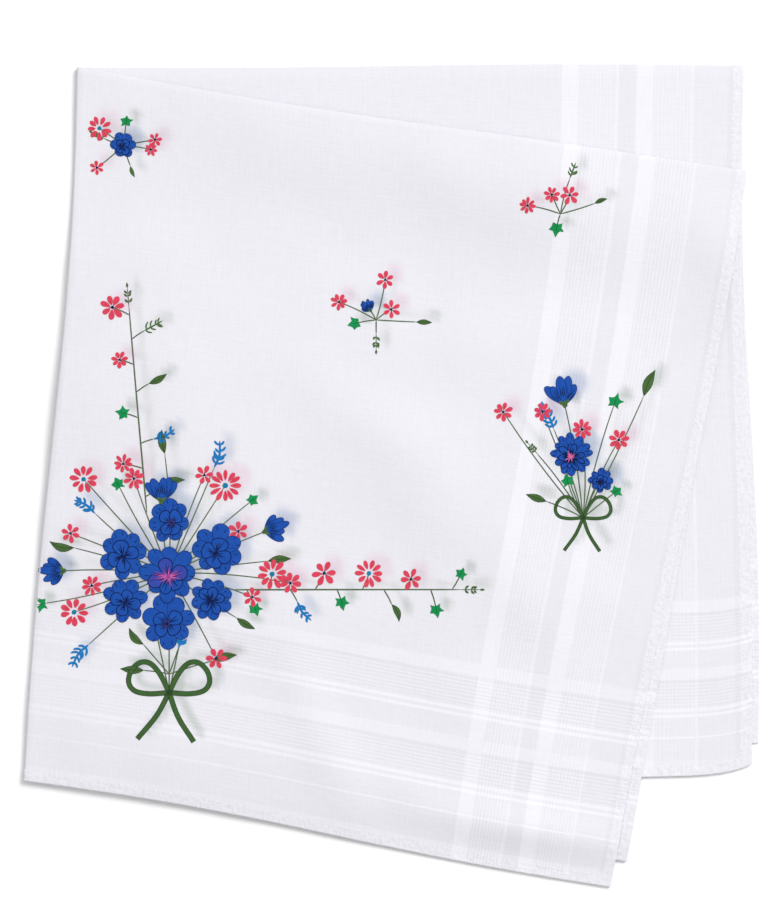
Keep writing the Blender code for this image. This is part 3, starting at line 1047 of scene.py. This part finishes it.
def flat_places(plan):
    """Where plan places on the show ply lie on the flat cloth: (across, down)."""
    over, along = plan[:, 0] / HALF_ACROSS, -plan[:, 1] / HALF_DOWN
    step = 1e-4
    for _ in range(6):
        here = ply_point("show", over, along)
        by_over = (ply_point("show", over + step, along) - here) / step
        by_along = (ply_point("show", over, along + step) - here) / step
        off = plan - here
        size = by_over[:, 0] * by_along[:, 1] - by_over[:, 1] * by_along[:, 0]
        over = over + (off[:, 0] * by_along[:, 1] - off[:, 1] * by_along[:, 0]) / size
        along = along + (by_over[:, 0] * off[:, 1] - by_over[:, 1] * off[:, 0]) / size
    from_fold = np.clip(over * WIDEST, 0.0, None)
    depth = PRESSED * OUTER_RADIUS
    on_turn = FOLD_RADIUS * np.arccos(np.clip(1 - from_fold / depth, 0.0, 1.0))
    past_turn = from_fold - depth + FOLD_RADIUS * math.pi / 2
    across = np.where(from_fold < depth, on_turn, past_turn)
    down = along * LONGEST + CREASE_RADIUS * (math.pi / 2 - PRESSED)
    return across, down


def on_cloth(across, down, lift, side):
    """Places lifted off the cloth's right side (side 1) or wrong side (side -1), in plan millimetres."""
    column = np.clip(np.searchsorted(COLUMNS, across) - 1, 0, len(COLUMNS) - 2)
    row = np.clip(np.searchsorted(ROWS, down) - 1, 0, len(ROWS) - 2)
    u = ((across - COLUMNS[column]) / (COLUMNS[column + 1] - COLUMNS[column]))[:, None]
    v = ((down - ROWS[row]) / (ROWS[row + 1] - ROWS[row]))[:, None]

    def between(values):
        near = (1 - u) * values[row, column] + u * values[row, column + 1]
        far = (1 - u) * values[row + 1, column] + u * values[row + 1, column + 1]
        return (1 - v) * near + v * far

    return between(GRID) + side * (SHEET / 2 + lift)[:, None] * between(NORMALS)


def make_print(name, inks):
    """One piece from all the shapes in these inks."""
    chosen = [shape for shape in SHAPES if shape[0] in inks]
    plan = np.vstack([shape[1] for shape in chosen])
    lift = np.concatenate([np.full(len(shape[1]), LIFT + LIFT_STEP * shape[3]) for shape in chosen])
    places = in_frame(on_cloth(*flat_places(plan), lift, 1))
    mesh = bpy.data.meshes.new(name)
    sheet = bmesh.new()
    start = 0
    for ink, own, own_faces, _ in chosen:
        vertices = [sheet.verts.new(place) for place in places[start : start + len(own)]]
        start += len(own)
        for face in own_faces:
            sheet.faces.new([vertices[i] for i in face]).material_index = inks.index(ink)
    sheet.normal_update()
    bmesh.ops.reverse_faces(sheet, faces=[face for face in sheet.faces if face.normal.z < 0])
    sheet.to_mesh(mesh)
    sheet.free()
    for ink in inks:
        mesh.materials.append(INK_MATERIALS[ink])
    return add_object(name, mesh)


def blurred(cover):
    """A grid of cells blurred both ways."""
    reach = int(3 * BLUR / BLUR_CELL)
    weights = np.exp(-0.5 * (np.arange(-reach, reach + 1) * BLUR_CELL / BLUR) ** 2)
    weights /= weights.sum()
    for _ in range(2):
        cover = np.array([np.convolve(row, weights, "same") for row in cover]).T
    return cover


def paint_show_through():
    """The painted show-through: the lining's print, which is not modelled, painted into the show ply's
    colour at each point of the cloth's grid: white where nothing shows through, and each ink's
    blurred tone where it does."""
    shape = (int(HALF_DOWN / BLUR_CELL) + 1, int(HALF_ACROSS / BLUR_CELL) + 1)
    tint = np.ones((*shape, 3))
    for inks, tone in SEEN_THROUGH:
        cover = np.zeros(shape)
        for ink, places, faces, _ in SHAPES:
            if ink not in inks:
                continue
            across, down = flat_places(places)
            own = np.stack((across + LINING_SHIFT[0], down - LINING_SHIFT[1]), axis=1)
            corners = own[np.array([face if len(face) == 4 else (face[0], *face) for face in faces])]
            near, far = (corners[:, 0] + corners[:, 3]) / 2, (corners[:, 1] + corners[:, 2]) / 2
            one, other = corners[:, 2] - corners[:, 0], corners[:, 3] - corners[:, 1]
            areas = np.abs(one[:, 0] * other[:, 1] - one[:, 1] * other[:, 0]) / 2
            for share in (0.1, 0.3, 0.5, 0.7, 0.9):
                cells = ((near + share * (far - near)) / BLUR_CELL).round().astype(int)
                row, column = np.clip(cells[:, 1], 0, shape[0] - 1), np.clip(cells[:, 0], 0, shape[1] - 1)
                np.add.at(cover, (row, column), areas / 5 / BLUR_CELL**2)
        seen = 1 - np.exp(-SHOW_THROUGH * blurred(cover))
        tint *= 1 - seen[..., None] * (1 - np.array(srgb(tone)[:3]))
    across, down = np.meshgrid(COLUMNS, ROWS)
    row, column = (np.clip(value / BLUR_CELL, 0, None).round().astype(int) for value in (down, across))
    return np.where(((across > 0) & (down > 0))[..., None], tint[row, column], 1.0)


# ---------------------------------------------------------------- stitches, by Geometry Nodes

STITCH_PITCH = 1.1
STITCH_LENGTH = 0.85
STITCH_THICKNESS = 0.16
STITCH_SEED = 3
STITCH_FROM_EDGE = HEM_WIDTH - 0.25  # where the line of stitches runs
STITCH_SUNK = 0.02  # how deep its middle lies in the hem's face
STITCH_LINE_PLACES = 700  # along each side of the cloth


def stitch_line():
    """The hem's stitch line on both faces of the cloth, as lines of edges in the frame."""
    places, edges = [], []
    inset_across, inset_down = HALF_ACROSS - STITCH_FROM_EDGE, HALF_DOWN - STITCH_FROM_EDGE
    ends = ((-1, -1), (1, -1), (1, 1), (-1, 1), (-1, -1))
    corners = [(x * inset_across, y * inset_down) for x, y in ends]
    lift = HEM_THICKNESS / 2 - SHEET / 2 - STITCH_SUNK
    for side in (1, -1):
        for (start_x, start_y), (end_x, end_y) in zip(corners, corners[1:]):
            count = STITCH_LINE_PLACES
            across, down = np.linspace(start_x, end_x, count), np.linspace(start_y, end_y, count)
            line = in_frame(on_cloth(across, down, np.full(count, lift), side))
            edges += [(len(places) + i, len(places) + i + 1) for i in range(count - 1)]
            places += list(line)
    mesh = bpy.data.meshes.new("stitch_line")
    mesh.from_pydata(places, edges, [])
    return add_object("stitch_line", mesh)


def stitch_tree():
    """Geometry Nodes that lay one slanted, rounded stitch after another along a line."""
    tree = bpy.data.node_groups.new("hem_stitches", "GeometryNodeTree")
    face = tree.interface
    face.new_socket("Line", in_out="INPUT", socket_type="NodeSocketGeometry")
    for name in ("Pitch", "Length", "Thickness"):
        face.new_socket(name, in_out="INPUT", socket_type="NodeSocketFloat")
    face.new_socket("Seed", in_out="INPUT", socket_type="NodeSocketInt")
    face.new_socket("Thread", in_out="INPUT", socket_type="NodeSocketMaterial")
    face.new_socket("Stitches", in_out="OUTPUT", socket_type="NodeSocketGeometry")
    given = add_node(tree, "NodeGroupInput").outputs
    curve = add_node(tree, "GeometryNodeMeshToCurve", {}, {"Mesh": given["Line"]})
    points = add_node(
        tree,
        "GeometryNodeCurveToPoints",
        {"mode": "LENGTH"},
        {"Curve": curve.outputs[0], "Length": given["Pitch"]},
    )
    aligned = add_node(
        tree,
        "FunctionNodeAlignRotationToVector",
        {"axis": "X"},
        {"Vector": points.outputs["Tangent"]},
    )
    jitter = add_node(
        tree,
        "FunctionNodeRandomValue",
        {"data_type": "FLOAT_VECTOR", 0: (-0.1, -0.1, 0.1), 1: (0.1, 0.1, 0.9)},
        {"Seed": given["Seed"]},
    )
    turned = add_node(
        tree,
        "FunctionNodeRotateRotation",
        {"rotation_space": "LOCAL"},
        {"Rotation": aligned.outputs[0], "Rotate By": jitter.outputs[0]},
    )
    bead = add_node(tree, "GeometryNodeMeshUVSphere", {"Segments": 8, "Rings": 6, "Radius": 0.5})
    size = add_node(
        tree,
        "ShaderNodeCombineXYZ",
        {},
        {"X": given["Length"], "Y": given["Thickness"], "Z": given["Thickness"]},
    )
    scaled = add_node(
        tree,
        "GeometryNodeInstanceOnPoints",
        {},
        {
            "Points": points.outputs["Points"],
            "Instance": bead.outputs["Mesh"],
            "Rotation": turned.outputs[0],
            "Scale": size.outputs[0],
        },
    )
    real = add_node(tree, "GeometryNodeRealizeInstances", {}, {"Geometry": scaled.outputs[0]})
    smooth = add_node(tree, "GeometryNodeSetShadeSmooth", {}, {"Geometry": real.outputs[0]})
    threaded = add_node(
        tree,
        "GeometryNodeSetMaterial",
        {},
        {"Geometry": smooth.outputs[0], "Material": given["Thread"]},
    )
    add_node(tree, "NodeGroupOutput", {}, {"Stitches": threaded.outputs[0]})
    return tree


def make_stitches(material):
    """All the hem's stitches as one plain mesh."""
    line = stitch_line()
    tree = stitch_tree()
    modifier = line.modifiers.new("stitches", "NODES")
    modifier.node_group = tree
    values = {
        "Pitch": STITCH_PITCH * MM,
        "Length": STITCH_LENGTH * MM,
        "Thickness": STITCH_THICKNESS * MM,
        "Seed": STITCH_SEED,
        "Thread": material,
    }
    for item in tree.interface.items_tree:
        if item.name in values:
            modifier[item.identifier] = values[item.name]
    made = line.evaluated_get(bpy.context.evaluated_depsgraph_get())
    mesh = bpy.data.meshes.new_from_object(made)
    mesh.name = "hem_stitches"
    stitches = add_object("hem_stitches", mesh)
    bpy.data.objects.remove(line)
    return stitches


# ---------------------------------------------------------------- floor, light and camera

CAMERA_HEIGHT = 0.8
VIEW_MIDDLE = (66.05, -84.04)  # plan millimetres below the camera
VIEW_LONG_SIDE = 197.7  # millimetres of the surface on the frame's long side
SENSOR = 36.0
FLOOR_REACH = 1.5  # metres each way
KEY_PLACE, KEY_SIZE, KEY_ENERGY = (1.05, 1.05, 1.95), 1.1, 43.5
WORLD_STRENGTH = 0.62


def make_floor(material):
    size = FLOOR_REACH
    mesh = bpy.data.meshes.new("floor")
    corners = [(-size, -size, 0), (size, -size, 0), (size, size, 0), (-size, size, 0)]
    mesh.from_pydata(corners, [], [(0, 1, 2, 3)])
    mesh.materials.append(material)
    return add_object("floor", mesh)


def make_light(name, place, size, energy, colour):
    """A square soft light that faces the cloth's middle."""
    data = bpy.data.lights.new(name, "AREA")
    data.shape = "SQUARE"
    data.size = size
    data.energy = energy
    data.color = srgb(colour)[:3]
    light = add_object(name, data)
    light.location = place
    away = light.location.normalized()
    light.rotation_mode = "QUATERNION"
    light.rotation_quaternion = away.to_track_quat("Z", "Y")
    return light


def make_world(strength):
    world = bpy.data.worlds.new("studio")
    world.use_nodes = True
    background = world.node_tree.nodes["Background"]
    background.inputs["Color"].default_value = (1.0, 1.0, 1.0, 1.0)
    background.inputs["Strength"].default_value = strength
    bpy.context.scene.world = world


def make_camera():
    data = bpy.data.cameras.new("camera")
    data.sensor_width = SENSOR
    data.lens = SENSOR * CAMERA_HEIGHT / (VIEW_LONG_SIDE * MM)
    data.clip_start = 0.05
    camera = add_object("camera", data)
    x, y, _ = in_frame((*VIEW_MIDDLE, 0.0))
    camera.location = (x, y, CAMERA_HEIGHT)
    bpy.context.scene.camera = camera


INK_MATERIALS = {name: printed_ink(f"{name}_pigment", *tones) for name, tones in INKS.items()}
SEEN_THROUGH = (
    # inks, and the tone that their painted show-through gives the cloth above them
    (PRINTS["red_print"], "#FBE3EC"),
    (PRINTS["blue_print"], "#D0D8E6"),
    (PRINTS["green_print"] + PRINTS["ivy_print"], "#CBD3CA"),
)

main_posy()
side_posy()
centre_sprig()
upper_sprig()
fold_posy()

cloth = make_cloth(lawn_cloth(), paint_show_through())
prints = [make_print(name, inks) for name, inks in PRINTS.items()]
stitches = make_stitches(sewing_thread())
floor = make_floor(seamless_paper())
make_light("key_from_upper_right", KEY_PLACE, KEY_SIZE, KEY_ENERGY, "#FFFFFF")
make_world(WORLD_STRENGTH)
make_camera()
bpy.context.scene.view_settings.view_transform = "Standard"

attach(cloth, "root")
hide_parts("handkerchief_cloth")
for piece in [*prints, stitches]:
    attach(piece, "root")
